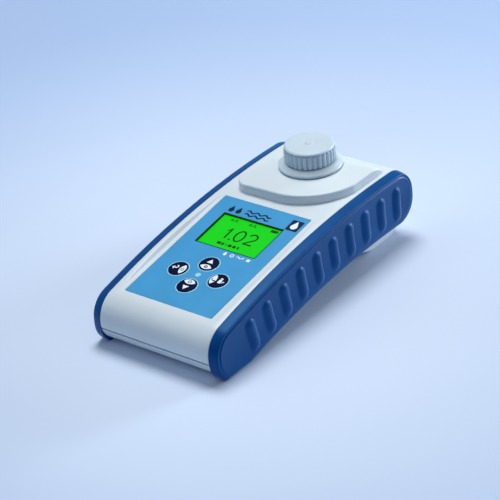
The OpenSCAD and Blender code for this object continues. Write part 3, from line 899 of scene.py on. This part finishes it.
def cap_profile(crown):
    """Points (radius, z) of the cap from its roof inside, down, and up to the middle of its top.
    Crown is 1 on the crest of a rib and 0 in the groove between two."""
    bore_r, roof = 10.2, 52.2
    groove_r = CAP_R - 1.0
    ease = 0.8
    levels = [CAP_BASE + 0.12, CAP_BASE + 0.35, CAP_BASE + 0.7, 48.0, 50.0, 51.5, 52.2, 52.5, 52.7,
              52.85, 52.95, RIB_TOP]
    profile = [(0.0, roof), (bore_r, roof), (bore_r, CAP_BASE), (groove_r - 0.2, CAP_BASE)]
    for z in levels:
        rounding = sqrt(max(0.0, 1 - max(0.0, (z - (RIB_TOP - ease))/ease)**2))
        start = mix(0.6, 1.0, smooth(CAP_BASE, CAP_BASE + 0.7, z))
        profile.append((groove_r + (CAP_R - groove_r)*crown*rounding*start, z))
    rim = [(CAP_R - 0.32, RIB_TOP + 0.3), (CAP_R - 0.22, RIB_TOP + 0.42), (CAP_R - 0.3, RIB_TOP + 0.6),
           (CAP_R - 0.6, RIB_TOP + 0.95), (CAP_R - 0.95, CAP_TOP - 0.1), (CAP_R - 1.2, CAP_TOP - 0.02)]
    boss = [(CAP_R - 1.6, CAP_TOP), (6.0, CAP_TOP + 0.02), (1.95, CAP_TOP + 0.02),
            (1.8, CAP_TOP + 0.12), (1.62, CAP_TOP + 0.3), (1.35, CAP_TOP + 0.36),
            (0.7, CAP_TOP + 0.3), (0.0, CAP_TOP + 0.28)]
    return profile + [(groove_r, RIB_TOP + 0.08), (groove_r, RIB_TOP + 0.2)] + rim + boss


def build_cap():
    """Screw cap with round-topped grip ribs under a chamfered rim."""
    per_rib = 20
    steps = CAP_RIBS*per_rib
    points = []
    for i in range(steps):
        bearing = 2*pi*i/steps
        across = 2*(i % per_rib)/per_rib - 1
        profile = cap_profile(1 - abs(across)**2.1)
        points += [(r*cos(bearing), r*sin(bearing), z) for r, z in profile]
    piece = make("vial_cap_ribbed", points, quads(steps, len(profile), wrap_rows=True), ON_VIAL)
    dress(piece, "grey_cap", "cap", "grey_cap", "vial_cap")


# ------------------------------------------------------- studio and camera


def paper_surface():
    """Pale paper with a painted pool of light in the middle: away from it the paper turns a little bluer
    and darker, as painted shade.
    """
    # Painted light: the floor keeps its lit colour out to the first distance and turns to painted shade
    # past the second, in millimetres from the middle.
    painted_light_until, painted_shade_from = 70, 340
    material = surface("studio_paper", (204, 219, 241), 0.55, shade=0.05, patch=300.0,
                       grain=0.9, relief=0.01)
    tree = material.node_tree
    base = tree.nodes["Principled BSDF"].inputs["Base Color"]
    place = tree.nodes.new("ShaderNodeTexCoord")
    away = tree.nodes.new("ShaderNodeVectorMath")
    away.operation = "LENGTH"
    tree.links.new(place.outputs["Object"], away.inputs[0])
    # Painted falloff from the lit middle out to the painted shade.
    painted_falloff = tree.nodes.new("ShaderNodeMapRange")
    painted_falloff.interpolation_type = "SMOOTHSTEP"
    painted_falloff.inputs["From Min"].default_value = painted_light_until*MM
    painted_falloff.inputs["From Max"].default_value = painted_shade_from*MM
    tree.links.new(away.outputs["Value"], painted_falloff.inputs["Value"])
    painted_shade_mix = tree.nodes.new("ShaderNodeMixRGB")
    # Painted shade: the bluer, darker colour far from the middle.
    painted_shade_mix.inputs["Color2"].default_value = linear(166, 190, 226)
    tree.links.new(painted_falloff.outputs["Result"], painted_shade_mix.inputs["Fac"])
    tree.links.new(base.links[0].from_socket, painted_shade_mix.inputs["Color1"])
    tree.links.new(painted_shade_mix.outputs["Color"], base)
    return material


def build_studio():
    """Pale floor that curves up into a backdrop all round.
    The profile's two middle points keep the smooth shading flat under the object."""
    flat, bend, bend_steps = 1400.0, 700.0, 16
    profile = [(0.0, 0.0), (150.0, 0.0), (500.0, 0.0), (flat, 0.0)]
    for i in range(1, bend_steps + 1):
        swing = pi/2*i/bend_steps
        profile.append((flat + bend*sin(swing), bend*(1 - cos(swing))))
    studio = make("studio_floor", *turned(profile, 96))
    for face in studio.data.polygons:
        face.use_smooth = True
    studio.data.materials.append(paper_surface())
    studio.data.flip_normals()


def area_light(name, place, size, power, colour):
    """A round lamp aimed at the object; place and size are in metres, and power is in watts."""
    data = bpy.data.lights.new(name, "AREA")
    data.shape = "DISK"
    data.size = size
    data.energy = power
    data.color = colour
    lamp = bpy.data.objects.new(name, data)
    lamp.location = place
    lamp.rotation_mode = "QUATERNION"
    lamp.rotation_quaternion = (LAMP_AIM - Vector(place)).to_track_quat("-Z", "Y")
    bpy.context.scene.collection.objects.link(lamp)


def build_light():
    """A pale sky, a key lamp overhead, a weak fill in front on the left, and a low rim lamp behind."""
    world = bpy.data.worlds.new("sky")
    bpy.context.scene.world = world
    world.use_nodes = True
    sky = world.node_tree.nodes["Background"]
    sky.inputs["Color"].default_value = linear(214, 226, 240)
    sky.inputs["Strength"].default_value = 0.36
    area_light("key", (-0.16, 0.24, 1.0), 0.5, 7.9, (1.0, 0.995, 0.98))
    area_light("fill", (-0.8, -0.6, 0.9), 0.8, 1.3, (0.9, 0.95, 1.0))
    area_light("rim", (0.46, 0.92, 0.22), 0.35, 7.5, (0.95, 0.98, 1.0))


def build_camera():
    """The main view: about 40 degrees round to the right, 30 above, with a slight roll.
    Its distance, aim and clipping are in metres."""
    aim = Vector((-0.0019, -0.0028, 0.0203))
    azimuth, elevation, roll = radians(40.58), radians(30.01), radians(6.15)
    distance = 1.0
    data = bpy.data.cameras.new("camera")
    data.sensor_width = 36.0
    data.lens = 154.55
    data.clip_start, data.clip_end = 0.05, 20.0
    camera = bpy.data.objects.new("camera", data)
    bpy.context.scene.collection.objects.link(camera)
    back = Vector((sin(azimuth)*cos(elevation), -cos(azimuth)*cos(elevation), sin(elevation)))
    level = Vector((cos(azimuth), sin(azimuth), 0.0))
    upright = back.cross(level)
    right = level*cos(roll) - upright*sin(roll)
    up = upright*cos(roll) + level*sin(roll)
    turn = Matrix((right, up, back)).transposed()
    camera.matrix_world = Matrix.Translation(aim + back*distance) @ turn.to_4x4()
    bpy.context.scene.camera = camera


def dress_cad_nodes():
    """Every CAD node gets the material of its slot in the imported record."""
    slots = {part["node"]: part["material_slot"] for part in frame["record"]["subparts"]}
    for name, node in frame["nodes"].items():
        look = slots[name]
        node.data.materials.clear()
        node.data.materials.append(SURFACES[look])


dress_cad_nodes()
build_camera()
build_studio()
build_light()
build_grip(1, "right_grip")
build_grip(-1, "left_grip")
build_upper_shell()
build_overlay()
build_key_halos()
build_display_border()
build_maker_marks()
build_value_marks()
build_reading()
for key_name in KEYS:
    build_key(key_name)
build_collar()
build_cap()
bpy.context.scene.view_settings.view_transform = "Standard"

bpy.context.view_layer.update()
